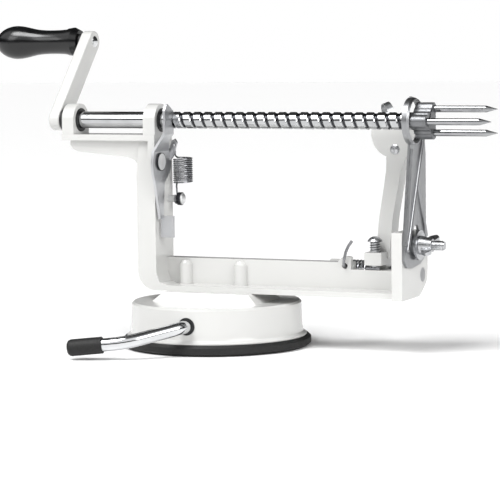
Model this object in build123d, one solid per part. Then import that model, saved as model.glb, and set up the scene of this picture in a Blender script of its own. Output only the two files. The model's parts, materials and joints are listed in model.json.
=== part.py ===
"""Hand-cranked apple peeler and corer on a suction base, one STEP file for each piece.

Millimetres. +X runs along the drive shaft from the crank to the fork, +Y points away from
the side that the suction lever is on, and +Z is up. The origin is the middle of the suction
pad's underside, on the worktop.
"""

from build123d import *
from math import atan2, cos, degrees, radians, sin
import os

os.makedirs("parts", exist_ok=True)

# drive shaft and its screw groove
axis_z = 126.3            # height of the shaft above the worktop
shaft_r = 4.7625          # 3/8 in rod
run_gap = 0.05            # radial clearance of a turning fit
lead = 6.5                # advance for one turn of the crank
groove_depth = 0.75
groove_r = 1.6            # radius of the groove's round section
groove_start = -30.5
groove_end = 113.0
groove_turn = -42.9       # brings the groove to the latch's tooth
shaft_left = -101.5
shaft_right = 122.0

# frame casting
frame_front = -10.0
frame_rear = 12.5
web_front = 4.8           # the webs stand back behind the flanges
beam_bottom = 30.5
beam_top = 48.2
beam_floor = 3.0          # thickness of the lower flange
post_left = -44.3
post_right = -32.8
rail_left = -92.0
rail_top = 118.3
rail_thick = 3.3
ear_thick = 7.4
ear_r = 9.3
bush_r = 6.7
end_left = 110.0
end_right = 116.0
end_front = -12.5
end_rear = 28.0
end_top = 66.7
ledge_left = 79.5
ledge_top = 44.3
spring_lug_x = 77.2
spring_lug_r = 5.9

# suction base
pad_r = 53.0
pad_top = 4.4             # the pad's upper side in the middle
housing_r = 48.2
housing_floor = 6.0
housing_top = 25.4
pedestal = (52.0, 30.0)   # flat on top of the housing that the beam stands on
lever_x = 3.8
lever_z = 15.8
lever_rod_r = 3.6
bush_outer = 4.8
bush_rear = -42.0
cam_throw = 1.5           # how far the lever's cam is off centre
cam_r = 5.6
cam_rear = -9.0           # end of the lever's straight part, inside the housing
lever_bends = ((lever_x, -54.0, lever_z), (lever_x - 24.0, -75.0, 9.2))
lever_tip = (lever_x - 52.4, -82.4, 6.4)
grip_length = 19.6
grip_r = 4.6

# crank and handle
crank_left = -102.5
crank_thick = 6.8
crank_throw = 59.4
crank_lean = 41.4         # degrees from upright towards +Y
crank_r = 6.3
handle_left = -161.5
spindle_r = 2.4

# coring ring, slicing blade and fork
ring_r = 12.9
ring_wall = 0.8
blade_left = 116.2
blade_thick = 1.4
stud_y = 5.6
stud_z = 58.8
stud_r = 2.5
fork_left = 119.2
fork_right = 129.0
prong_r = 1.85
prong_pitch_r = 7.4
prong_tip = 164.8

# latch that drops into the screw groove
latch_thick = 1.5
latch_y = -8.0            # its pivot
latch_z = 103.2
latch_x = -31.6           # its face next to the post
finger_x = -25.6          # the same face beside the shaft
spring_y = 8.5
spring_x = -24.9
spring_r = 5.6
pin_y = 7.6               # headed pin below the spring
pin_z = 81.4
spring_wire_r = 0.5

# peeling arm
arm_y = 19.8              # its pivot
arm_z = 41.3
arm_pin_r = 4.0
arm_left = 87.5
arm_right = 97.5
head_x = 100.6            # middle of its blade head
head_z = 118.5
head_r = 13.2
head_front = 17.2
head_rear = 24.6
stop_x = 92.4             # stop screw through the arm's tail
stop_y = 8.8
blade_x = 101.1           # screw that holds the peeling blade
blade_z = 110.0
loop_turn = -52.0         # degrees about the loop's own upright axis
blade_lean = -24.0        # degrees about the screw, top towards the crank

boss_places = (-21.0, 13.0)


def block(x, y, z):
    """A box from three (low, high) pairs."""
    size = [pair[1] - pair[0] for pair in (x, y, z)]
    middle = [(pair[0] + pair[1]) / 2 for pair in (x, y, z)]
    return Pos(*middle) * Box(*size)


def rod_x(radius, x, y=0.0, z=0.0):
    """A cylinder along X between the two ends of x."""
    return Pos((x[0] + x[1]) / 2, y, z) * Rot(0, 90, 0) * Cylinder(radius, x[1] - x[0])


def rod_y(radius, x, y, z):
    """A cylinder along Y between the two ends of y."""
    return Pos(x, (y[0] + y[1]) / 2, z) * Rot(90, 0, 0) * Cylinder(radius, y[1] - y[0])


def rod_z(radius, x, y, z):
    """A cylinder along Z between the two ends of z."""
    return Pos(x, y, (z[0] + z[1]) / 2) * Cylinder(radius, z[1] - z[0])


def slab_x(face, x):
    """A face drawn in Y and Z, given thickness along X."""
    return extrude(Plane.YZ.offset(x[0]) * face, x[1] - x[0])


def slab_y(face, y):
    """A face drawn in X and Z, given thickness along Y."""
    return extrude(Plane.XZ.offset(-y[1]) * face, y[1] - y[0])


def turned_x(profile, y=0.0, z=0.0):
    """A solid of revolution about an axis along X, from (x, radius) corners."""
    face = make_face(Polyline(*profile, close=True))
    return Pos(0, y, z) * revolve(face, Axis.X)


def turned_z(profile):
    """A solid of revolution about Z from (radius, z) corners."""
    face = make_face(Polyline(*[(r, 0, z) for r, z in profile], close=True))
    return revolve(face, Axis.Z)


def coil(radius, wire_r, turns, height):
    """A coil spring about Z from z = 0, with plain cut ends."""
    path = Helix(height / turns, height, radius)
    section = Plane(origin=path @ 0, z_dir=path % 0) * Circle(wire_r)
    return sweep(section, path=path, is_frenet=True)


def wire(points, wire_r, bend):
    """A round wire along straight runs with bends of one radius."""
    path = FilletPolyline(*points, radius=bend)
    section = Plane(origin=path @ 0, z_dir=path % 0) * Circle(wire_r)
    return sweep(section, path=path)


def domed_head(radius, height):
    """A plain domed head standing on z = 0."""
    ball_r = (radius ** 2 + height ** 2) / (2 * height)
    return Pos(0, 0, height - ball_r) * Sphere(ball_r) & Pos(0, 0, ball_r) * Box(
        4 * radius, 4 * radius, 2 * ball_r)


def slotted_head(radius, height, slot):
    """A domed screw head with a driver's slot."""
    return domed_head(radius, height) - Pos(0, 0, height) * Box(slot, 4 * radius, height)


# ---------------------------------------------------------------- frame

def ear(left):
    """A rounded ear that stands on the rail and carries one end of the shaft."""
    right = left + ear_thick
    foot = block((left, right), (-ear_r, ear_r), (rail_top - rail_thick, axis_z))
    lug = foot + rod_x(ear_r, (left, right), 0, axis_z)
    return lug - rod_x(bush_r, (left - 1, right + 1), 0, axis_z)


def end_wall():
    """The wall at the fork's end: a low deep foot and an upright tongue in front."""
    foot = Polyline((end_front, beam_bottom - 0.7), (15.0, beam_bottom - 0.7), (end_rear, 38.0),
                    (end_rear, 52.0), (end_front, 52.0), close=True)
    tongue = Polyline((end_front, 40.0), (20.0, 40.0), (20.0, 60.0), (13.0, end_top),
                      (end_front, end_top), close=True)
    wall = slab_x(make_face(foot), (end_left, end_right))
    rear_bottom = wall.edges().filter_by(Axis.X).sort_by(
        lambda edge: edge.center().Y - 2 * edge.center().Z)[-2:]
    wall = fillet(rear_bottom, 9.0)
    return wall + slab_x(make_face(tongue), (end_left, end_right))


def frame_casting():
    """The one-piece casting: post, rail with two ears, lower beam and end wall."""
    post = block((post_left, post_right), (frame_front, frame_rear), (beam_bottom, rail_top))
    corner = post.edges().filter_by(Axis.Y).sort_by(lambda edge: edge.center().X + edge.center().Z)
    post = fillet(corner[0], 11.0)
    web = block((post_right - 2, end_left + 1), (web_front, frame_rear), (beam_bottom, beam_top))
    floor = block((post_right - 1, end_left + 1), (frame_front, frame_rear),
                  (beam_bottom, beam_bottom + beam_floor))
    heel = slab_y(make_face(Polyline(
        (post_right - 1, beam_bottom + 1), (post_right + 7, beam_bottom + 1),
        (post_right + 7, beam_bottom + beam_floor), (post_right + 2, beam_bottom + beam_floor + 1.6),
        (post_right, beam_bottom + beam_floor + 7), (post_right - 1, beam_bottom + beam_floor + 7),
        close=True)), (frame_front, web_front + 1))
    bosses = Part()
    for x in boss_places:
        bosses += rod_z(3.8, x, web_front, (beam_bottom, beam_top - 3.5))
        bosses += Pos(x, web_front, beam_top - 3.5) * Cone(3.8, 2.4, 2.4, align=(
            Align.CENTER, Align.CENTER, Align.MIN))
    lower = web + floor + heel + bosses

    rail = block((rail_left, post_right), (frame_front, 9.5), (rail_top - rail_thick, rail_top))
    rail_web = slab_y(make_face(Polyline(
        (rail_left + 4, rail_top - 1), (rail_left + 4, 112.3), (rail_left + 5.6, 110.0),
        (rail_left + 9, 108.4), (post_left - 6.7, 105.5), (post_left - 3.0, 104.2),
        (post_left - 0.8, 101.8), (post_left, 98.0), (post_left + 4, 98.0), (post_left + 4, rail_top - 1),
        close=True)), (frame_front + 3, 9.5))
    upper = rail + rail_web

    scoop = slab_x(make_face(Polyline(
        (frame_front - 1, rail_top - rail_thick), (frame_front + 3, rail_top - rail_thick),
        (frame_front - 1, 88.0), close=True)), (post_left - 1, post_right - 4.2))
    casting = (post - scoop) + upper + lower + ear(rail_left) + ear(post_right - ear_thick) + end_wall()

    lug = rod_y(spring_lug_r, spring_lug_x, (web_front, web_front + 3.5), beam_top - 2.6)
    casting += lug
    casting -= block((ledge_left, end_left), (web_front - 1, frame_rear + 1), (ledge_top, beam_top + 5))
    casting -= rod_y(1.6, spring_lug_x - 1.2, (web_front - 1, web_front + 5), beam_top - 2.0)
    pin_lug = block((62.0, 68.0), (frame_rear - 1, 27.0), (beam_bottom, 41.3))
    pin_lug += rod_x(7.2, (62.0, 68.0), arm_y, arm_z)
    casting += pin_lug + block((62.0, end_left + 1), (frame_rear - 1, 27.0),
                               (beam_bottom, beam_bottom + beam_floor))
    casting -= rod_x(arm_pin_r, (60, end_right + 1), arm_y, arm_z)
    casting -= rod_x(stud_r, (end_left - 1, end_right + 1), stud_y, stud_z)
    casting -= rod_x(1.8, (post_right - 3.5, post_right + 1), latch_y, latch_z)
    casting -= rod_x(2.0, (post_right - 8, post_right + 1), pin_y, pin_z)
    for x in boss_places:
        casting -= rod_z(2.0, x, web_front, (beam_bottom - 1, beam_top - 8))
    return casting


def bushing(left):
    """A plain bearing bush pressed into an ear, a little proud of it."""
    span = (left - 0.4, left + ear_thick + 0.4)
    return rod_x(bush_r, span, 0, axis_z) - rod_x(shaft_r + run_gap, (span[0] - 1, span[1] + 1), 0, axis_z)


def arm_pin():
    """The pin that the peeling arm swings on, flush with the end wall."""
    return rod_x(arm_pin_r, (61.0, end_right), arm_y, arm_z)


def corer_plate():
    """The slicing blade: a plate with the ring's hole, a slot for the stud and a rib."""
    right = (blade_left, blade_left + blade_thick)
    hip = 21.2
    sketch = make_face(Polyline(
        (-3.0, axis_z - ring_r + 1), (-12.6, 60.0), (-12.6, 52.0), (-8.5, 47.4), (-1.0, 46.6),
        (12.0, 48.0), (18.0, 50.6), (hip, 56.0), (hip, 108.0), (19.0, 120.5), (13.6, 130.5),
        (6.4, 138.4), (0.0, axis_z + ring_r + 0.4), (0, axis_z), close=True))
    plate = slab_x(sketch, right) - rod_x(ring_r - 0.2, (right[0] - 1, right[1] + 1), 0, axis_z)
    slot = rod_x(4.0, (right[0] - 1, right[1] + 1), stud_y, 56.0)
    slot += rod_x(4.0, (right[0] - 1, right[1] + 1), stud_y, 66.0)
    slot += block((right[0] - 1, right[1] + 1), (stud_y - 4, stud_y + 4), (56.0, 66.0))
    plate -= slot
    for start, end in (((-9.0, 56.0), (19.5, 124.0)), ((21.0, 62.0), (6.6, 95.0))):
        length = ((end[0] - start[0]) ** 2 + (end[1] - start[1]) ** 2) ** 0.5
        lean = degrees(atan2(end[0] - start[0], end[1] - start[1]))
        rib = Pos(right[1], (start[0] + end[0]) / 2, (start[1] + end[1]) / 2) * Rot(-lean, 0, 0) * (
            Cylinder(1.3, length - 2.6) + Pos(0, 0, length / 2 - 1.3) * Sphere(1.3)
            + Pos(0, 0, 1.3 - length / 2) * Sphere(1.3))
        plate += rib & block((right[0] + 0.1, right[1] + 3), (-30, 40), (40, 140))
    flange = slab_x(make_face(Polyline(
        (-3.0, axis_z - ring_r - 2), (-12.6, 60.0), (-11.4, 60.0), (-1.8, axis_z - ring_r - 2),
        close=True)), (right[0], right[0] + 3.0))
    return plate + flange - rod_x(ring_r - 0.2, (right[0] - 1, right[1] + 5), 0, axis_z)


def coring_ring():
    """The thin ring that cuts the core out, brazed into the slicing blade."""
    start = blade_left
    end = start + 2.8
    edge = end + 1.2
    return turned_x(((start, ring_r - 0.2), (end, ring_r - 0.2), (edge, ring_r - 0.9),
                     (edge, ring_r - 1.05), (start, ring_r - ring_wall - 0.2)), 0, axis_z)


def blade_stud():
    """The threaded stud cast into the end wall."""
    stud = rod_x(stud_r, (end_left - 3.5, 133.2), stud_y, stud_z)
    stud += rod_x(2.2, (133.2, 134.0), stud_y, stud_z)
    return stud + rod_x(4.6, (end_left - 3.5, end_left), stud_y, stud_z)


def blade_spacer():
    """The collar between the slicing blade and the washer."""
    span = (blade_left + blade_thick, blade_left + blade_thick + 1.4)
    return rod_x(6.0, span, stud_y, stud_z) - rod_x(
        stud_r + run_gap, (span[0] - 1, span[1] + 1), stud_y, stud_z)


def blade_washer():
    """The washer under the wing nut."""
    left = blade_left + blade_thick + 1.4
    ring = rod_x(8.2, (left, left + 1.2), stud_y, stud_z)
    return ring - rod_x(stud_r + run_gap, (left - 1, left + 2), stud_y, stud_z)


def wing_nut():
    """The wing nut that clamps the slicing blade."""
    left = blade_left + blade_thick + 2.7
    hub = turned_x(((left, 0), (left, 5.2), (left + 3.6, 4.4), (left + 6.8, 3.6), (left + 6.8, 0)),
                   stud_y, stud_z)
    for turn in (0, 180):
        wing = slab_y(make_face(FilletPolyline(
            (left + 0.8, 2.0), (left + 2.6, 8.2), (left + 6.2, 10.2), (left + 8.4, 7.6),
            (left + 6.4, 2.0), radius=1.2, close=True)), (-1.1, 1.1))
        hub += Pos(0, stud_y, stud_z) * Rot(turn + 115, 0, 0) * wing
    return hub - rod_x(stud_r + run_gap, (left - 1, left + 12), stud_y, stud_z)


def latch_rivet():
    """The shouldered rivet that the latch turns on."""
    shank = rod_x(1.8, (post_right - 3.5, latch_x), latch_y, latch_z)
    shank += rod_x(4.0, (post_right, latch_x + latch_thick + 0.1), latch_y, latch_z)
    shank += rod_x(5.4, (post_right, latch_x - 0.1), latch_y, latch_z)
    return shank + rod_x(5.1, (latch_x + latch_thick + 0.1, latch_x + latch_thick + 1.1), latch_y, latch_z)


def spring_pin():
    """The headed pin in the post that the latch spring pulls against."""
    pin = rod_x(2.0, (post_right - 8, -26.6), pin_y, pin_z) + rod_x(3.7, (-26.6, -24.4), pin_y, pin_z)
    head = Pos(-24.4, pin_y, pin_z) * Rot(0, 90, 0) * domed_head(3.7, 1.8)
    return pin + head


def latch_plate():
    """The pressed steel latch: hub, finger beside the shaft, stem with a thumb tab, spring tab."""
    outline = make_face(Polyline(
        (-8.8, 70.8), (-14.2, 91.0), (-16.6, 97.0), (-17.4, 103.0), (-15.6, 110.0), (-13.6, 120.0),
        (-13.6, 132.0), (-11.0, 135.4), (-9.6, 135.6), (-2.6, 131.6), (-2.6, 118.6), (-4.2, 115.4),
        (1.4, 110.8), (4.4, 107.6), (5.6, 102.0), (3.4, 96.4), (-2.4, 91.5), (-4.2, 80.0),
        (-5.1, 70.8), close=True))
    far = latch_x + 12
    solid = slab_x(outline, (latch_x, far))
    mid = (109.4, 119.0)
    back = make_face(Polyline(
        (latch_x, 60), (latch_x, mid[0]), (finger_x, mid[1]), (finger_x, 140),
        (finger_x + latch_thick, 140), (finger_x + latch_thick, mid[1] - 0.35),
        (latch_x + latch_thick, mid[0] - 0.35), (latch_x + latch_thick, 60), close=True))
    plate = solid & slab_y(back, (-30, 20))
    plate -= rod_x(shaft_r + 0.15, (latch_x - 1, far), 0, axis_z)
    plate -= rod_x(4.0 + run_gap, (latch_x - 1, latch_x + latch_thick + 1), latch_y, latch_z)
    plate += block((latch_x + 0.4, latch_x + 8.4), (-6.6, -5.1), (60.4, 72.6))
    tooth = block((finger_x + 0.4, finger_x + 1.1), (-6.0, -shaft_r + 0.3), (axis_z - 1.2, axis_z + 1.2))
    plate += tooth
    ear_tab = slab_y(make_face(Polyline(
        (latch_x, 103.4), (latch_x, 107.0), (latch_x + 2.8, 114.6), (latch_x + 4.6, 115.6),
        (latch_x + 6.0, 113.4), (latch_x + 3.4, 105.6), (latch_x + 1.5, 103.4), close=True)),
        (4.2, 5.7))
    ear_tab -= rod_y(1.0, latch_x + 4.1, (3, 7), 112.2)
    return plate + ear_tab


def latch_spring():
    """The close-wound spring between the latch's tab and the headed pin."""
    bottom, turns = 90.4, 12
    height = turns * 2 * spring_wire_r * 1.18
    return Pos(spring_x, spring_y + 1.6, bottom) * coil(
        spring_r - spring_wire_r, spring_wire_r, turns, height)


def torsion_spring():
    """The spring round the arm's pin that holds the arm against the fruit."""
    start, turns = 70.0, 9
    height = turns * 2 * 0.8 * 1.15
    body = coil(6.4, 0.8, turns, height)
    return Pos(start, arm_y, arm_z) * Rot(0, 90, 0) * body


# ---------------------------------------------------------------- crank and shaft

def crank_spacer():
    """The loose plastic washer between the crank and the ear."""
    left = crank_left + crank_thick + 0.1
    ring = rod_x(6.2, (left, left + 2.4), 0, axis_z)
    return ring - rod_x(shaft_r + run_gap, (left - 1, left + 4), 0, axis_z)


def drive_shaft():
    """The shaft, smooth at the crank and screw grooved towards the fork."""
    shaft = rod_x(shaft_r, (shaft_left, shaft_right), 0, axis_z)
    length = groove_end - groove_start
    path = Helix(lead, length, shaft_r + groove_r - groove_depth)
    section = Plane(origin=path @ 0, z_dir=path % 0) * Circle(groove_r)
    groove = sweep(section, path=path, is_frenet=True)
    groove = Pos(groove_start, 0, axis_z) * Rot(groove_turn, 0, 0) * Rot(0, 90, 0) * groove
    return shaft - groove


def crank_arm():
    """The cast crank arm with round ends."""
    right = crank_left + crank_thick
    side = Plane.YZ.offset(crank_left) * Pos(0, crank_throw / 2) * SlotCenterToCenter(
        crank_throw, 2 * crank_r, rotation=90)
    arm = extrude(side, crank_thick)
    arm = fillet(arm.edges().filter_by(Plane.YZ), 0.9)
    arm -= rod_x(shaft_r, (crank_left + 1.0, right + 1))
    arm -= rod_x(spindle_r, (crank_left - 1, right + 1), 0, crank_throw)
    return Pos(0, 0, axis_z) * Rot(-crank_lean, 0, 0) * arm


def crank_point():
    """Y and Z of the handle's axis."""
    lean = radians(crank_lean)
    return crank_throw * sin(lean), axis_z + crank_throw * cos(lean)


def handle_spindle():
    """The screw through the crank arm that the handle turns on."""
    y, z = crank_point()
    right = crank_left + crank_thick
    spindle = rod_x(spindle_r, (handle_left + 14, right), y, z)
    return spindle + Pos(right, y, z) * Rot(0, 90, 0) * slotted_head(3.3, 1.3, 0.8)


def crank_handle():
    """The moulded handle: round knob end, slim waist and a flared collar."""
    y, z = crank_point()
    face = crank_left - 0.4
    tip = handle_left
    end = Line((tip, 0), (tip, 0.5))
    grip = Spline((tip, 0.5), (tip + 3.2, 6.2), (tip + 12.5, 9.8), (tip + 27.0, 7.7),
                  (tip + 38.0, 7.0), (face - 9.6, 7.6))
    collar = Polyline((face - 9.6, 7.6), (face - 9.4, 8.0), (face - 6.0, 8.5), (face - 2.4, 6.8),
                      (face - 2.4, 0), (tip, 0))
    knob = Pos(0, y, z) * revolve(make_face(Curve() + [end, grip, collar]), Axis.X)
    return knob - rod_x(spindle_r + run_gap, (handle_left + 13, face + 1), y, z)


def handle_washer():
    """The washer between the handle and the crank arm."""
    y, z = crank_point()
    span = (crank_left - 2.5, crank_left)
    return rod_x(4.6, span, y, z) - rod_x(spindle_r, (span[0] - 1, span[1] + 1), y, z)


def fork_head():
    """The three-lobed casting on the shaft's end that holds the prongs."""
    head = rod_x(7.0, (fork_left, fork_right), 0, axis_z)
    for turn in (0, 120, 240):
        lobe = rod_x(3.6, (fork_left, fork_right), -prong_pitch_r, 0)
        web = block((fork_left, fork_right), (-prong_pitch_r, 0), (-3.6, 3.6))
        head += Pos(0, 0, axis_z) * Rot(turn, 0, 0) * (lobe + web)
        head -= Pos(0, 0, axis_z) * Rot(turn, 0, 0) * rod_x(
            prong_r, (fork_left + 1.5, fork_right + 1), -prong_pitch_r, 0)
        head -= Pos(0, 0, axis_z) * Rot(turn + 60, 0, 0) * rod_x(
            3.0, (fork_left - 1, fork_right + 1), -8.6, 0)
    return head - rod_x(shaft_r, (fork_left - 1, shaft_right), 0, axis_z)


def fork_prong(turn):
    """One steel prong with a conical point."""
    left = fork_left + 1.5
    prong = turned_x(((left, 0), (left, prong_r), (prong_tip - 6.5, prong_r), (prong_tip, 0.1),
                      (prong_tip, 0)))
    return Pos(0, 0, axis_z) * Rot(turn, 0, 0) * Pos(0, -prong_pitch_r, 0) * prong


# ---------------------------------------------------------------- peeling arm

def peeler_arm():
    """The cast arm: hub on the pin, tail with the stop screw, bar and blade head."""
    hub = rod_x(6.9, (arm_left, arm_right), arm_y, arm_z)
    hub += block((arm_left, arm_right), (stop_y - 4.0, arm_y), (arm_z + 5.6, arm_z + 12.6))
    hub += block((arm_left, arm_right), (13.0, 26.0), (arm_z, arm_z + 12.6))
    side = make_face(Polyline(
        (14.0, 50.0), (14.6, 70.0), (16.6, 90.0), (head_front, 104.0), (head_front, 128.0),
        (head_rear, 128.0), (head_rear, 101.5), (26.6, 94.0), (26.6, 88.0), (25.4, 70.0),
        (25.0, 50.0), close=True))
    front = make_face(Polyline(
        (arm_left, 48.0), (arm_left + 3.6, 56.0), (arm_left + 5.2, 74.0), (arm_left + 8.4, 98.0),
        (arm_left + 8.6, 106.0), (head_x - head_r, head_z), (head_x + head_r, head_z),
        (head_x + 9.0, 110.0), (arm_left + 17.0, 98.0), (arm_left + 13.2, 74.0),
        (arm_left + 11.6, 56.0), (arm_right, 48.0), close=True))
    bar = slab_x(side, (arm_left - 1, head_x + head_r + 1)) & slab_y(front, (0, 40))
    arm = hub + bar + rod_y(head_r, head_x, (head_front, head_rear), head_z)
    arm -= block((head_x - 20, head_x + 20), (0, 40), (head_z + 9.0, head_z + 20))
    arm -= rod_x(arm_pin_r + run_gap, (arm_left - 1, arm_right + 1), arm_y, arm_z)
    arm -= rod_z(2.6, stop_x, stop_y, (arm_z, arm_z + 14))
    return arm - rod_y(2.0, blade_x, (head_front - 1, head_rear + 3), blade_z)


def stop_screw():
    """The screw that sets how near the arm comes to the shaft."""
    top = arm_z + 18.6
    screw = rod_z(2.6, stop_x, stop_y, (ledge_top + 0.15, top))
    return screw + Pos(stop_x, stop_y, top) * slotted_head(4.2, 2.8, 0.9)


def leaned(piece):
    """A blade piece drawn upright, leaned over about its clamping screw."""
    return Pos(blade_x, 0, blade_z) * Rot(0, blade_lean, 0) * Pos(-blade_x, 0, -blade_z) * piece


def peeler_bracket():
    """The folded steel plate with a slot that carries the peeling blade."""
    y = head_rear + 0.05
    plate = block((blade_x - 6.4, blade_x + 6.4), (y, y + 0.9), (blade_z - 6.0, blade_z + 10.0))
    for side in (-6.4, 5.5):
        plate += block((blade_x + side, blade_x + side + 0.9), (y, y + 6.0), (blade_z - 6.0, blade_z + 9.0))
    slot = rod_y(2.2, blade_x, (y - 1, y + 2), blade_z) + rod_y(2.2, blade_x, (y - 1, y + 2), blade_z + 4.6)
    slot += block((blade_x - 2.2, blade_x + 2.2), (y - 1, y + 2), (blade_z, blade_z + 4.6))
    return leaned(plate - slot)


def peeler_loop():
    """The looped blade, turned across the bracket's channel to face the fruit."""
    half, thick, strip = 5.4, 0.6, 3.8
    crown = blade_z + 22.0
    y = head_rear + 6.6
    span, deep = (y - strip / 2, y + strip / 2), (y - strip, y + strip)
    outer = rod_y(half, blade_x, span, crown)
    outer += block((blade_x - half, blade_x + half), span, (blade_z + 8.0, crown))
    inner = rod_y(half - thick, blade_x, deep, crown)
    inner += block((blade_x - half + thick, blade_x + half - thick), deep, (blade_z + 6.0, crown))
    loop = Pos(blade_x, y, 0) * Rot(0, 0, loop_turn) * Pos(-blade_x, -y, 0) * (outer - inner)
    return leaned(loop)


def blade_screw():
    """The screw that clamps the bracket to the arm's head, with its nut."""
    screw = rod_y(2.0, blade_x, (head_front, head_rear + 4.4), blade_z)
    screw += Pos(blade_x, head_front, blade_z) * Rot(90, 0, 0) * slotted_head(2.8, 1.0, 0.8)
    nut = extrude(Plane.XZ.offset(-(head_rear + 3.4)) * Pos(blade_x, blade_z) * RegularPolygon(3.6, 6), 2.4)
    return screw + nut


# ---------------------------------------------------------------- suction base

def base_housing():
    """The round housing: a hollow cup upside down, with the beam's pedestal on top."""
    shell = turned_z(((0, housing_floor), (housing_r + 2.4, housing_floor),
                      (housing_r + 2.4, housing_floor + 0.8), (housing_r + 0.6, housing_floor + 2.2),
                      (housing_r, housing_floor + 4.6), (housing_r - 0.4, housing_top - 1.0),
                      (housing_r - 1.6, housing_top), (0, housing_top)))
    hollow = turned_z(((0, housing_floor - 1), (housing_r - 2.8, housing_floor - 1),
                       (housing_r - 3.2, housing_top - 3.0), (0, housing_top - 3.0)))
    shell -= hollow
    foot = Pos(0, 0, housing_top - 0.1) * Rectangle(pedestal[0] + 12, pedestal[1] + 5)
    top = Pos(0, 0, beam_bottom) * Rectangle(*pedestal)
    shell += loft([foot.face(), top.face()])
    barrel = rod_y(6.4, lever_x, (-housing_r + 2.0, -14.0), lever_z)
    shell += barrel
    shell -= rod_y(lever_rod_r + run_gap, lever_x, (-housing_r - 3, -13.0), lever_z)
    shell -= rod_y(bush_outer, lever_x, (-housing_r - 3, bush_rear), lever_z)
    for x in boss_places:
        shell -= rod_z(2.0, x, web_front, (housing_top - 5, beam_bottom + 1))
    cam_x = lever_x - cam_throw
    return shell - block((cam_x - 12, cam_x + 12), (cam_rear - 4, 7),
                         (housing_top - 5, housing_top + 1.2))


def suction_pad():
    """The rubber pad, flat underneath, with a thick rim round a thinner middle."""
    return turned_z(((0, 0), (pad_r - 2.0, 0), (pad_r, 1.6),
                     (pad_r, 4.6), (pad_r - 1.4, housing_floor), (38.0, housing_floor),
                     (34.0, pad_top), (0, pad_top)))


def base_screw(x):
    """A screw up through the housing into one of the beam's bosses."""
    head_top = housing_top - 3.0
    return rod_z(2.0, x, web_front, (head_top - 0.4, beam_top - 9)) + rod_z(
        3.8, x, web_front, (head_top - 2.6, head_top))


def pad_lifter():
    """The stirrup round the cam, on a foot that is moulded to the pad's middle."""
    cam_x = lever_x - cam_throw
    gap = cam_r + 0.45
    loop = block((cam_x - 10.6, cam_x + 10.6), (-6.5, 0.4), (5.6, lever_z + gap + 1.6))
    loop -= block((cam_x - 8.4, cam_x + 8.4), (-8, 2), (lever_z - gap, lever_z + gap))
    return loop + rod_z(10.0, 0, 0, (pad_top, pad_top + 1.6))


def lever_rod():
    """The bent rod that works the suction pad."""
    points = ((lever_x, cam_rear, lever_z), *lever_bends, lever_tip)
    return wire(points, lever_rod_r, (9.0, 30.0))


def lever_bush():
    """The black bush that the lever turns in, flush with the housing's wall."""
    ring = rod_y(bush_outer, lever_x, (-housing_r + 0.4, bush_rear), lever_z)
    return ring - rod_y(lever_rod_r + run_gap, lever_x, (-housing_r - 1, bush_rear + 1), lever_z)


def lever_grip():
    """The rubber sleeve on the lever's end, with a rounded closed tip."""
    tip, bend = Vector(*lever_tip), Vector(*lever_bends[1])
    along = (tip - bend).normalized()
    start = tip - along * (grip_length - 2.0)
    plane = Plane(origin=start, z_dir=along)
    grip = plane * Pos(0, 0, grip_length / 2) * Cylinder(grip_r, grip_length)
    grip = fillet(grip.edges().filter_by(GeomType.CIRCLE).group_by(
        lambda edge: (edge.center() - start).dot(along))[-1], 2.6)
    bore = plane * Pos(0, 0, -1) * Cylinder(lever_rod_r, grip_length - 1.0, align=(
        Align.CENTER, Align.CENTER, Align.MIN))
    return grip - bore


def lever_cam():
    """The round cam on the lever's inner end, off centre so that it lifts the pad."""
    cam = rod_y(cam_r, lever_x - cam_throw, (cam_rear - 2.0, 0.6), lever_z)
    return cam - rod_y(lever_rod_r, lever_x, (cam_rear - 3, cam_rear), lever_z)


nodes = {}
nodes["frame_casting"] = frame_casting()
nodes["crank_end_bush"] = bushing(rail_left)
nodes["latch_end_bush"] = bushing(post_right - ear_thick)
nodes["arm_pin"] = arm_pin()
nodes["corer_plate"] = corer_plate()
nodes["coring_ring"] = coring_ring()
nodes["blade_stud"] = blade_stud()
nodes["blade_spacer"] = blade_spacer()
nodes["blade_washer"] = blade_washer()
nodes["wing_nut"] = wing_nut()
nodes["latch_rivet"] = latch_rivet()
nodes["spring_pin"] = spring_pin()
nodes["latch_plate"] = latch_plate()
nodes["latch_spring"] = latch_spring()
nodes["arm_spring"] = torsion_spring()
nodes["crank_spacer"] = crank_spacer()
nodes["drive_shaft"] = drive_shaft()
nodes["crank_arm"] = crank_arm()
nodes["handle_spindle"] = handle_spindle()
nodes["handle_washer"] = handle_washer()
nodes["crank_handle"] = crank_handle()
nodes["fork_head"] = fork_head()
for number, turn in enumerate((0, 120, 240), 1):
    nodes[f"fork_prong_{number}"] = fork_prong(turn)
nodes["peeler_arm"] = peeler_arm()
nodes["stop_screw"] = stop_screw()
nodes["peeler_bracket"] = peeler_bracket()
nodes["peeler_loop"] = peeler_loop()
nodes["blade_screw"] = blade_screw()
nodes["base_housing"] = base_housing()
nodes["suction_pad"] = suction_pad()
for number, x in enumerate(boss_places, 1):
    nodes[f"base_screw_{number}"] = base_screw(x)
nodes["lever_rod"] = lever_rod()
nodes["lever_bush"] = lever_bush()
nodes["lever_grip"] = lever_grip()
nodes["lever_cam"] = lever_cam()
nodes["pad_lifter"] = pad_lifter()

for name, solid in nodes.items():
    export_step(solid, f"parts/{name}.step")
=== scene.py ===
import bpy
import json
from math import atan2, cos, pi, radians, sin
from mathutils import Matrix, Vector

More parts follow.
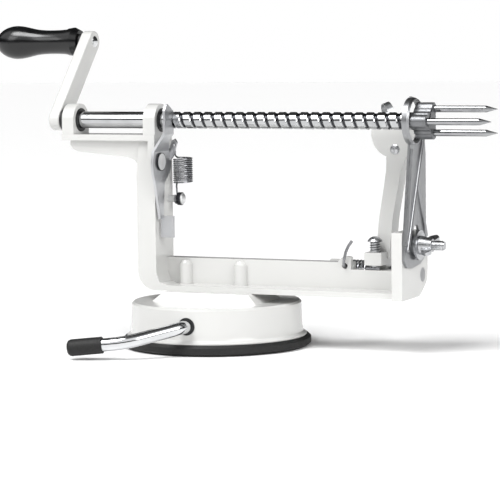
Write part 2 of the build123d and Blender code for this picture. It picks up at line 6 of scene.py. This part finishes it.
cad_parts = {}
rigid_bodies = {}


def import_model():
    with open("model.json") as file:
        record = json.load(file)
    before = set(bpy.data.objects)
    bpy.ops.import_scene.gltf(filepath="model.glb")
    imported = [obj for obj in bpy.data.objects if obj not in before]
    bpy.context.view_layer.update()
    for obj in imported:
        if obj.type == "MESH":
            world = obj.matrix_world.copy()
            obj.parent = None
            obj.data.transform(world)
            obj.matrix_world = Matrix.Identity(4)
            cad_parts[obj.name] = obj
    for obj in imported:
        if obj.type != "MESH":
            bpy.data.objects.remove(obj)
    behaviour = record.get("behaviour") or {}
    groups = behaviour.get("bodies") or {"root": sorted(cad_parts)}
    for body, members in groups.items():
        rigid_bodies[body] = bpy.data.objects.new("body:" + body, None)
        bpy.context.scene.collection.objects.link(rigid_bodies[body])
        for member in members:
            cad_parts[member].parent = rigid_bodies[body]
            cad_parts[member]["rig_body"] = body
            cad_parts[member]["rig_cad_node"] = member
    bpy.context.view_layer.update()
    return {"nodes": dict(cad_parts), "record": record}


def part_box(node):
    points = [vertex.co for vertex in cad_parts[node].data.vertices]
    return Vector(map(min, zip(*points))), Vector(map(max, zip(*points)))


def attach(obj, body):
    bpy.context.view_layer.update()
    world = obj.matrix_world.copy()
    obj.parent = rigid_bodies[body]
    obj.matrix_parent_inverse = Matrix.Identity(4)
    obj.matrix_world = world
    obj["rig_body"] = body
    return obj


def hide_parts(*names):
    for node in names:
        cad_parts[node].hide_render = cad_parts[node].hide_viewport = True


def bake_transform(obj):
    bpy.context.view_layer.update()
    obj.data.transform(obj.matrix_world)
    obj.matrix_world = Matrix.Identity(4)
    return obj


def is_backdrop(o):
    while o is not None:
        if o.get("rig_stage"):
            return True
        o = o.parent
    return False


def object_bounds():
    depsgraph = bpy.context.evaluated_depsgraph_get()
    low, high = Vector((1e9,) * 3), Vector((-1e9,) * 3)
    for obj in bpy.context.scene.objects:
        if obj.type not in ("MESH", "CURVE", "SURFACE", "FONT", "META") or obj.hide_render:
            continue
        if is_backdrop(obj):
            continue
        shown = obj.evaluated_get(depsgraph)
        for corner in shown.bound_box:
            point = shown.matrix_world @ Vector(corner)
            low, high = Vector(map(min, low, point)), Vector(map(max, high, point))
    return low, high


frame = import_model()
nodes = frame["nodes"]
slotOf = {part["node"]: part["material_slot"] for part in frame["record"]["subparts"]}
mm = 0.001


def toLinear(hexText):
    # sRGB hex to the linear colour that a shader wants
    parts = [int(hexText[i:i + 2], 16) / 255 for i in (1, 3, 5)]
    return [c / 12.92 if c <= 0.04045 else ((c + 0.055) / 1.055) ** 2.4 for c in parts] + [1]


def addNode(tree, kind, inputs=None, **settings):
    # settings are the node's own options, inputs are values or links by socket name or number
    node = tree.nodes.new(kind)
    for key, value in settings.items():
        setattr(node, key, value)
    for key, value in (inputs or {}).items():
        if isinstance(value, bpy.types.NodeSocket):
            tree.links.new(value, node.inputs[key])
        else:
            node.inputs[key].default_value = value
    return node


def newMaterial(name):
    material = bpy.data.materials.new(name)
    material.use_nodes = True
    tree = material.node_tree
    return material, tree, tree.nodes["Principled BSDF"], addNode(tree, "ShaderNodeTexCoord").outputs["Object"]


def surface(name, look):
    # look: dark and pale colour of the variation, its size, metal, roughness range, grain and how the grain is stretched
    material, tree, shader, place = newMaterial(name)
    stretched = addNode(tree, "ShaderNodeMapping", {"Vector": place, "Scale": look.get("stretch", (1, 1, 1))})
    patches = addNode(tree, "ShaderNodeTexNoise", {"Vector": place, "Scale": 1 / (look["patchMm"] * mm), "Detail": 3})
    grain = addNode(tree, "ShaderNodeTexNoise", {
        "Vector": stretched.outputs[0], "Scale": 1 / (look["grainMm"] * mm), "Detail": 4, "Roughness": 0.6})
    mixed = addNode(tree, "ShaderNodeMix", {
        0: patches.outputs["Fac"], 6: toLinear(look["dark"]), 7: toLinear(look["pale"])}, data_type="RGBA")
    low, high = look["rough"]
    dull = addNode(tree, "ShaderNodeMapRange", {
        "Value": grain.outputs["Fac"], "From Min": 0.3, "From Max": 0.7, "To Min": low, "To Max": high})
    bump = addNode(tree, "ShaderNodeBump", {
        "Height": grain.outputs["Fac"], "Distance": look["bumpMm"] * mm, "Strength": look.get("bump", 0.5)})
    tree.links.new(mixed.outputs[2], shader.inputs["Base Color"])
    tree.links.new(dull.outputs[0], shader.inputs["Roughness"])
    tree.links.new(bump.outputs[0], shader.inputs["Normal"])
    shader.inputs["Metallic"].default_value = look["metal"]
    if "coat" in look:
        shader.inputs["Coat Weight"].default_value = look["coat"]
        shader.inputs["Coat Roughness"].default_value = 0.06
    if "ior" in look:
        shader.inputs["IOR"].default_value = look["ior"]
    return material


# stove enamel over a zinc casting: a wet gloss with a faint orange peel, 2.4 mm from crest to crest
enamelLook = {"dark": "#CCCCCA", "pale": "#D1D1CF", "patchMm": 40, "grainMm": 4, "bumpMm": 0.05,
              "bump": 0.03, "metal": 0, "rough": (0.22, 0.26), "coat": 0.3, "ior": 1.52}
# moulded ABS: deep black with a long soft highlight and a trace of handling haze
absLook = {"dark": "#060607", "pale": "#0C0D0E", "patchMm": 22, "grainMm": 5.0, "bumpMm": 0.02,
           "bump": 0.2, "metal": 0, "rough": (0.16, 0.26), "ior": 1.54}
# nylon: waxy black, softer than the handle
nylonLook = {"dark": "#101011", "pale": "#1B1B1D", "patchMm": 8, "grainMm": 0.7, "bumpMm": 0.05,
             "metal": 0, "rough": (0.42, 0.55), "ior": 1.53}
# natural rubber, moulded and matt, with a fine tooth that greys the black
rubberLook = {"dark": "#050505", "pale": "#0E0E0E", "patchMm": 14, "grainMm": 0.9, "bumpMm": 0.12,
              "metal": 0, "rough": (0.55, 0.72), "ior": 1.52}
# bright chrome plate: nearly a mirror, with slight waves where the plate follows the metal below
chromeLook = {"dark": "#C4C5C7", "pale": "#E4E5E6", "patchMm": 12, "grainMm": 3.0, "bumpMm": 0.04,
              "bump": 0.3, "metal": 1, "rough": (0.07, 0.14)}
# ground and plated rod: the same mirror with rings left by turning, drawn 0.5 mm apart so that they show
shaftLook = {"dark": "#A4A5A7", "pale": "#D2D3D4", "patchMm": 9, "grainMm": 0.5, "bumpMm": 0.02,
             "bump": 0.1, "metal": 1, "rough": (0.07, 0.13), "stretch": (1, 0.04, 0.04)}
# zinc plated pressing: even mid grey, rolled lines up the sheet
pressingLook = {"dark": "#B4B5B7", "pale": "#CFD0D2", "patchMm": 16, "grainMm": 0.6, "bumpMm": 0.03,
                "metal": 1, "rough": (0.34, 0.48), "stretch": (1, 1, 0.05)}
# rolled stainless sheet: a satin grey with long grain up the blade
sheetLook = {"dark": "#87888A", "pale": "#A6A7A9", "patchMm": 20, "grainMm": 0.5, "bumpMm": 0.025,
             "metal": 1, "rough": (0.26, 0.4), "stretch": (1, 1, 0.04)}
# oil tempered spring wire: near black with a thin shine along the wire
wireLook = {"dark": "#7E7F82", "pale": "#A8A9AC", "patchMm": 5, "grainMm": 0.8, "bumpMm": 0.03,
            "metal": 1, "rough": (0.22, 0.36)}
# raw cast metal, darkened: grainy and dull
castLook = {"dark": "#6C6D6F", "pale": "#8A8B8D", "patchMm": 6, "grainMm": 0.9, "bumpMm": 0.1,
            "metal": 0.9, "rough": (0.32, 0.48)}
# polished spikes: drawn along their length
prongLook = {"dark": "#8E8F91", "pale": "#B8B9BA", "patchMm": 10, "grainMm": 0.5, "bumpMm": 0.01,
             "bump": 0.02, "metal": 1, "rough": (0.05, 0.1), "stretch": (0.05, 1, 1)}
# hammered rivet and pin heads: flat pale satin, as left by the snap that closed them
rivetLook = {"dark": "#DEDFE0", "pale": "#F0F0F0", "patchMm": 5, "grainMm": 1.2, "bumpMm": 0.02,
             "bump": 0.2, "metal": 0.8, "rough": (0.4, 0.5)}
# bright zinc plate on screws, nuts and rivets: pale grey and a little milky, tumbled before plating
zincLook = {"dark": "#A8A9AB", "pale": "#CCCDCF", "patchMm": 4, "grainMm": 0.9, "bumpMm": 0.03,
            "bump": 0.3, "metal": 1, "rough": (0.24, 0.36)}

materials = {
    "white_enamel": surface("stoveEnamelWhite", enamelLook),
    "black_plastic": surface("mouldedAbsBlack", absLook),
    "black_nylon": surface("nylonBlack", nylonLook),
    "black_rubber": surface("mouldedRubberBlack", rubberLook),
    "chrome_plate": surface("chromePlateBright", chromeLook),
    "brushed_steel": surface("zincPlatedPressing", pressingLook),
    "stainless_sheet": surface("rolledStainlessSheet", sheetLook),
    "spring_steel": surface("oilTemperedWire", wireLook),
    "grey_casting": surface("castMetalDark", castLook),
    "polished_steel": surface("drawnSteelPolished", prongLook),
}


def paintShadeByAxis(material, axis, unshadedMm, darkMm):
    # painted shade: the colour goes dark where the distance from an axis along X passes from the plain radius to
    # darkMm, a painted shadow at the bottom of thread grooves and a painted dark outline round the rims of rivet and
    # pin heads; axis is its y and z
    tree = material.node_tree
    shader = tree.nodes["Principled BSDF"]
    steel = shader.inputs["Base Color"].links[0].from_socket
    place = addNode(tree, "ShaderNodeTexCoord").outputs["Object"]
    centred = addNode(tree, "ShaderNodeMapping", {
        "Vector": place, "Location": (0, -axis[0], -axis[1]), "Scale": (0, 1, 1)})
    fromAxis = addNode(tree, "ShaderNodeVectorMath", {0: centred.outputs[0]}, operation="LENGTH")
    unshaded = addNode(tree, "ShaderNodeMapRange", {
        "Value": fromAxis.outputs["Value"], "From Min": darkMm * mm, "From Max": unshadedMm * mm})
    both = addNode(tree, "ShaderNodeMix", {
        0: unshaded.outputs[0], 6: toLinear("#38393C"), 7: steel}, data_type="RGBA")
    tree.links.new(both.outputs[2], shader.inputs["Base Color"])
    return material


def axisX(node):
    # y and z of the middle of a round piece that lies along X
    low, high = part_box(node)
    return (low.y + high.y) / 2, (low.z + high.z) / 2


# painted shade in the shaft's thread grooves, and a painted dark outline round the rims of the latch rivet and the
# spring pin
shaftSteel = paintShadeByAxis(surface("turnedShaftPlated", shaftLook), axisX("drive_shaft"), 4.45, 4.05)
rivetSteel = paintShadeByAxis(surface("rivetHeadSatin", rivetLook), axisX("latch_rivet"), 4.5, 4.95)
pinSteel = paintShadeByAxis(surface("pinHeadSatin", rivetLook), axisX("spring_pin"), 3.1, 3.6)
zincSteel = surface("zincPlateTumbled", zincLook)
ownFinish = {"drive_shaft": shaftSteel, "latch_rivet": rivetSteel, "spring_pin": pinSteel, "wing_nut": zincSteel,
             "blade_washer": zincSteel, "blade_spacer": zincSteel, "blade_stud": zincSteel,
             "blade_screw": zincSteel, "stop_screw": zincSteel, "arm_pin": materials["stainless_sheet"]}
for name, piece in nodes.items():
    piece.data.materials.clear()
    piece.data.materials.append(ownFinish.get(name, materials[slotOf[name]]))
print("materials done")


def clearSelection():
    if bpy.context.object and bpy.context.object.mode != "OBJECT":
        bpy.ops.object.mode_set(mode="OBJECT")
    bpy.ops.object.select_all(action="DESELECT")


def focus(piece):
    clearSelection()
    piece.select_set(True)
    bpy.context.view_layer.objects.active = piece


def finishPiece(piece, name, slotName, body, angle=35, finish=None):
    focus(piece)
    piece.name = name
    piece.data.materials.clear()
    piece.data.materials.append(finish or materials[slotName])
    bpy.ops.object.transform_apply(location=True, rotation=True, scale=True)
    bpy.ops.object.shade_smooth_by_angle(angle=radians(angle))
    if body:
        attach(piece, body)
    return piece


# cast and pressed pieces, with the radius in mm that their edges get
softEdges = {
    "frame_casting": 0.9, "peeler_arm": 1.3, "base_housing": 0.5, "wing_nut": 0.35,
    "fork_head": 0.5, "latch_plate": 0.25, "corer_plate": 0.2, "lever_grip": 0.4,
}


def soften(node, radius):
    # a merged copy of the node with its flat faces made whole and its sharp edges rounded
    source = nodes[node]
    piece = source.copy()
    piece.data = source.data.copy()
    bpy.context.scene.collection.objects.link(piece)
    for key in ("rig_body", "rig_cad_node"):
        if key in piece:
            del piece[key]
    piece.parent = None
    piece.matrix_world = Matrix.Identity(4)
    focus(piece)
    bpy.ops.object.mode_set(mode="EDIT")
    bpy.ops.mesh.select_all(action="SELECT")
    bpy.ops.mesh.remove_doubles(threshold=0.00001)
    bpy.ops.mesh.customdata_custom_splitnormals_clear()
    bpy.ops.mesh.dissolve_limited(angle_limit=radians(0.8))
    bpy.ops.object.mode_set(mode="OBJECT")
    bevel = piece.modifiers.new("edges", "BEVEL")
    bevel.width = radius * mm
    bevel.segments = 3
    bevel.limit_method = "ANGLE"
    bevel.angle_limit = radians(32)
    bevel.use_clamp_overlap = True
    bpy.ops.object.modifier_apply(modifier="edges")
    words = node.split("_")
    finishPiece(piece, words[0] + "".join(w.title() for w in words[1:]) + "Soft", slotOf[node], source["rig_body"],
                50, ownFinish.get(node))
    flats = piece.modifiers.new("flats", "WEIGHTED_NORMAL")
    flats.weight = 100
    flats.keep_sharp = True
    focus(piece)
    bpy.ops.object.modifier_apply(modifier="flats")
    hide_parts(node)
    return piece


for node, radius in softEdges.items():
    soften(node, radius)
print("soft edges done")


def helixWire(wire):
    # one vertex turned into a helix about Z and put in place; the legs are carried on from its ends afterwards by
    # carryOn
    bpy.ops.mesh.primitive_circle_add(vertices=3, radius=0.0001, location=(0, 0, 0))
    piece = bpy.context.object
    bpy.ops.object.mode_set(mode="EDIT")
    bpy.ops.mesh.select_all(action="SELECT")
    bpy.ops.mesh.merge(type="CENTER")
    bpy.ops.transform.translate(value=(wire["coilMm"] * mm, 0, 0))
    bpy.ops.object.mode_set(mode="OBJECT")
    screw = piece.modifiers.new("coil", "SCREW")
    screw.angle = 2 * pi
    screw.screw_offset = wire["pitchMm"] * mm
    screw.iterations = wire["turns"]
    screw.steps = screw.render_steps = 24
    bpy.ops.object.modifier_apply(modifier="coil")
    piece.matrix_world = wire["place"]
    bpy.ops.object.transform_apply(location=True, rotation=True, scale=True)
    return piece


def carryOn(piece, fromPoint, points):
    # extrudes the vertex nearest fromPoint through the given points
    index = min(range(len(piece.data.vertices)), key=lambda i: (piece.data.vertices[i].co - fromPoint).length)
    at = piece.data.vertices[index].co.copy()
    focus(piece)
    bpy.ops.object.mode_set(mode="EDIT")
    bpy.ops.mesh.select_mode(type="VERT")
    bpy.ops.mesh.select_all(action="DESELECT")
    bpy.ops.object.mode_set(mode="OBJECT")
    piece.data.vertices[index].select = True
    bpy.ops.object.mode_set(mode="EDIT")
    for point in points:
        step = Vector(point) * mm - at
        bpy.ops.mesh.extrude_region_move(TRANSFORM_OT_translate={"value": step})
        at = at + step
    bpy.ops.object.mode_set(mode="OBJECT")


def drawnWire(piece, radius):
    # the line becomes a round wire of that radius in mm
    focus(piece)
    bpy.ops.object.convert(target="CURVE")
    piece.data.bevel_depth = radius * mm
    piece.data.bevel_resolution = 3
    piece.data.use_fill_caps = True
    bpy.ops.object.convert(target="MESH")
    return piece


def arc(middle, radius, start, end, count, side):
    # points in mm round an arc in the plane of side and Z, where side is a direction in X and Y
    return [(middle[0] + radius * cos(radians(a)) * side[0], middle[1] + radius * cos(radians(a)) * side[1],
             middle[2] + radius * sin(radians(a))) for a in [start + (end - start) * i / count for i in range(count + 1)]]


latchSpring = {"coilMm": 5.1, "pitchMm": 1.18, "turns": 12, "wireMm": 0.5, "x": -24.9, "y": 10.1, "z": 90.4}
middle = (latchSpring["x"], latchSpring["y"], latchSpring["z"])
latchSpring["place"] = Matrix.Translation(Vector(middle) * mm) @ Matrix.Rotation(radians(150), 4, "Z")
coil = helixWire(latchSpring)
topZ = middle[2] + latchSpring["turns"] * latchSpring["pitchMm"]
carryOn(coil, Vector((middle[0] - 4.4, middle[1] + 2.55, middle[2])) * mm,
        [(middle[0] - 4.3, middle[1] + 0.6, 89.6), (middle[0] - 3.4, middle[1] - 1.6, 88.4)]
        + arc((middle[0] - 3.0, 7.6, 81.4), 2.6, 75, -235, 14, (0, 1)))
carryOn(coil, Vector((middle[0] - 4.4, middle[1] + 2.55, topZ)) * mm,
        [(middle[0] - 4.5, middle[1] + 0.4, topZ + 0.8), (middle[0] - 3.6, middle[1] - 2.4, topZ + 2.0),
         (middle[0] - 3.0, middle[1] - 3.6, topZ + 4.6)]
        + arc((-27.5, 5.0, 111.8), 1.5, -40, 200, 10, (0, 1)))
drawnWire(coil, latchSpring["wireMm"])
finishPiece(coil, "latchSpringWire", "spring_steel", None)
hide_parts("latch_spring")
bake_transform(coil)

armSpring = {"coilMm": 6.5, "pitchMm": 2.05, "turns": 8, "wireMm": 0.66, "x": 70.4, "y": 19.8, "z": 41.3}
armSpring["place"] = Matrix.Translation(Vector((70.4, 19.8, 41.3)) * mm) @ Matrix.Rotation(pi / 2, 4, "Y")
coil = helixWire(armSpring)
endX = 70.4 + armSpring["turns"] * armSpring["pitchMm"]
low = armSpring["z"] - armSpring["coilMm"]
carryOn(coil, Vector((endX, 19.8, low)) * mm,
        arc((endX + 0.6, 19.8, 41.3), 6.4, 250, 150, 8, (0, 1))[1:]
        + [(endX + 0.2, 12.9, 45.2), (endX + 0.4, 9.0, 45.4), (endX + 0.8, 6.4, 45.3), (endX + 2.0, 5.2, 45.2),
           (endX + 9.6, 5.2, 45.2)])
drawnWire(coil, armSpring["wireMm"])
finishPiece(coil, "armSpringWire", "spring_steel", None)
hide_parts("arm_spring")
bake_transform(coil)

bpy.ops.mesh.primitive_circle_add(vertices=3, radius=0.0001, location=(0, 0, 0))
leg = bpy.context.object
bpy.ops.object.mode_set(mode="EDIT")
bpy.ops.mesh.select_all(action="SELECT")
bpy.ops.mesh.merge(type="CENTER")
bpy.ops.transform.translate(value=(0.076, 0.0085, 0.0462))
bpy.ops.object.mode_set(mode="OBJECT")
carryOn(leg, Vector((0.076, 0.0085, 0.0462)),
        [(76.0, 4.4, 46.2), (76.1, 3.2, 46.8), (76.2, 2.7, 48.2), (76.6, 2.7, 51.0), (77.4, 2.9, 54.2),
         (78.8, 3.2, 57.4), (80.8, 3.5, 60.2)])
drawnWire(leg, 0.8)
finishPiece(leg, "armSpringLeg", "spring_steel", "stand")
print("springs done")


def threadRidge(name, thread):
    # a three-sided ridge wound round a plain rod along Z, then put in place
    bpy.ops.mesh.primitive_circle_add(vertices=3, radius=thread["ridgeMm"] * mm, location=(0, 0, 0))
    piece = bpy.context.object
    bpy.ops.object.mode_set(mode="EDIT")
    bpy.ops.mesh.select_all(action="SELECT")
    bpy.ops.transform.rotate(value=pi / 2, orient_axis="X", center_override=(0, 0, 0))
    bpy.ops.transform.rotate(value=pi / 2, orient_axis="Y", center_override=(0, 0, 0))
    bpy.ops.transform.translate(value=((thread["rodMm"]) * mm, 0, 0))
    bpy.ops.mesh.edge_face_add()
    bpy.ops.object.mode_set(mode="OBJECT")
    screw = piece.modifiers.new("thread", "SCREW")
    screw.angle = 2 * pi
    screw.screw_offset = thread["pitchMm"] * mm
    screw.iterations = thread["turns"]
    screw.steps = screw.render_steps = 24
    bpy.ops.object.modifier_apply(modifier="thread")
    piece.matrix_world = thread["place"]
    bpy.ops.object.mode_set(mode="EDIT")
    bpy.ops.mesh.select_all(action="SELECT")
    bpy.ops.mesh.remove_doubles(threshold=0.000001)
    bpy.ops.mesh.normals_make_consistent(inside=False)
    bpy.ops.object.mode_set(mode="OBJECT")
    return finishPiece(piece, name, thread["slot"], thread["body"], 25)


low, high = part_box("stop_screw")
screwMiddle = ((low.x + high.x) / 2, (low.y + high.y) / 2)
# the stop screw's ridge takes the dark cast finish against the pale zinc rod: painted shade, standing in for the
# shadow between its turns
threadRidge("stopScrewThread", {
    "ridgeMm": 0.5, "rodMm": 2.65, "pitchMm": 1.35, "turns": 4, "slot": "grey_casting", "body": "peeling_arm",
    "place": Matrix.Translation((screwMiddle[0], screwMiddle[1], 0.0543))})
low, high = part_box("blade_stud")
studMiddle = ((low.y + high.y) / 2, (low.z + high.z) / 2)
threadRidge("bladeStudThread", {
    "ridgeMm": 0.3, "rodMm": 2.5, "pitchMm": 0.8, "turns": 5, "slot": "chrome_plate", "body": "stand",
    "place": Matrix.Translation((0.1288, 0.0056, 0.0588)) @ Matrix.Rotation(pi / 2, 4, "Y")})
print("threads done")


# seamless paper sweep: a dead matt white that only shows the soft shadow
def paperMaterial():
    material, tree, shader, place = newMaterial("matPaperWhite")
    fibre = addNode(tree, "ShaderNodeTexNoise", {"Vector": place, "Scale": 180, "Detail": 3})
    tint = addNode(tree, "ShaderNodeMix", {
        0: fibre.outputs["Fac"], 6: toLinear("#FDFDFD"), 7: toLinear("#FFFFFF")}, data_type="RGBA")
    tree.links.new(tint.outputs[2], shader.inputs["Base Color"])
    shader.inputs["Roughness"].default_value = 0.92
    shader.inputs["Specular IOR Level"].default_value = 0.1  # paper has hardly any shine, even far off
    return material


clearSelection()
sweep = {"width": 14.0, "depth": 14.0}
bpy.ops.mesh.primitive_plane_add(size=1, location=(0, 0, -0.0002))
floor = bpy.context.object
bpy.ops.object.mode_set(mode="EDIT")
bpy.ops.transform.resize(value=(sweep["width"], sweep["depth"], 1))
bpy.ops.object.mode_set(mode="OBJECT")
floor.name = "paperFloor"
floor.data.materials.append(paperMaterial())
bpy.ops.object.transform_apply(location=True, rotation=True, scale=True)
floor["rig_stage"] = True

bpy.context.scene.view_settings.view_transform = "Standard"  # keeps the paper white and the blacks deep
world = bpy.data.worlds.new("studioRoom")
bpy.context.scene.world = world
world.use_nodes = True
tree = world.node_tree
# white walls and ceiling in front, a thin dark line over the horizon and a dark room behind the object's top:
# bright metal mirrors these as its stripes
toward = addNode(tree, "ShaderNodeSeparateXYZ", {0: addNode(tree, "ShaderNodeTexCoord").outputs["Generated"]})
ramp = addNode(tree, "ShaderNodeValToRGB", {0: toward.outputs["Z"]})
bands = [(0.0, 1.0), (0.03, 1.0), (0.06, 0.03), (0.3, 0.05), (0.38, 0.95), (0.8, 1.0), (0.9, 0.15), (1.0, 0.1)]
ramp.color_ramp.elements[0].position, ramp.color_ramp.elements[1].position = bands[0][0], bands[-1][0]
for position, grey in bands[1:-1]:
    ramp.color_ramp.elements.new(position)
for element, (position, grey) in zip(ramp.color_ramp.elements, bands):
    element.position = position
    element.color = (grey, grey, grey, 1)
rear = addNode(tree, "ShaderNodeMapRange", {
    "Value": toward.outputs["Y"], "From Min": -0.1, "From Max": 0.2}, interpolation_type="SMOOTHSTEP")
high = addNode(tree, "ShaderNodeMapRange", {
    "Value": toward.outputs["Z"], "From Min": 0.04, "From Max": 0.1}, interpolation_type="SMOOTHSTEP")
dark = addNode(tree, "ShaderNodeMath", {0: rear.outputs[0], 1: high.outputs[0]}, operation="MULTIPLY")
room = addNode(tree, "ShaderNodeMix", {
    0: dark.outputs[0], 6: ramp.outputs[0], 7: (0.05, 0.05, 0.05, 1)}, data_type="RGBA")
tree.links.new(room.outputs[2], tree.nodes["Background"].inputs["Color"])
tree.nodes["Background"].inputs["Strength"].default_value = 1.0

# a broad even key from the front left, and soft boxes by place, size and power
sun = bpy.data.lights.new("keySun", "SUN")
sun.energy = 2.35
sun.angle = radians(30)
key = bpy.data.objects.new("keySun", sun)
key.rotation_euler = Vector((0.25, 0.5, -1.0)).to_track_quat("-Z", "Y").to_euler()
bpy.context.scene.collection.objects.link(key)
lights = {
    "frontBox": ((-0.9, -1.3, 1.0), 0.7, 4),
    "rightBox": ((1.5, -0.9, 0.9), 1.0, 15),
}
for name, (place, size, power) in lights.items():
    light = bpy.data.lights.new(name, "AREA")
    light.size = size
    light.energy = power
    lamp = bpy.data.objects.new(name, light)
    lamp.location = place
    lamp.rotation_euler = (Vector((0.02, 0, 0.08)) - Vector(place)).to_track_quat("-Z", "Y").to_euler()
    bpy.context.scene.collection.objects.link(lamp)

view = {"place": (0.5484, -1.1655, 0.172), "turn": 24.35, "down": 5.27, "roll": -0.7, "lensMm": 165.6}
cameraData = bpy.data.cameras.new("camera")
cameraData.lens = view["lensMm"]
cameraData.sensor_width = 36
camera = bpy.data.objects.new("camera", cameraData)
camera.matrix_world = (
    Matrix.Translation(view["place"]) @ Matrix.Rotation(radians(view["turn"]), 4, "Z")
    @ Matrix.Rotation(radians(90 - view["down"]), 4, "X") @ Matrix.Rotation(radians(view["roll"]), 4, "Z"))
bpy.context.scene.collection.objects.link(camera)
bpy.context.scene.camera = camera
print("stage done")

low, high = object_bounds()
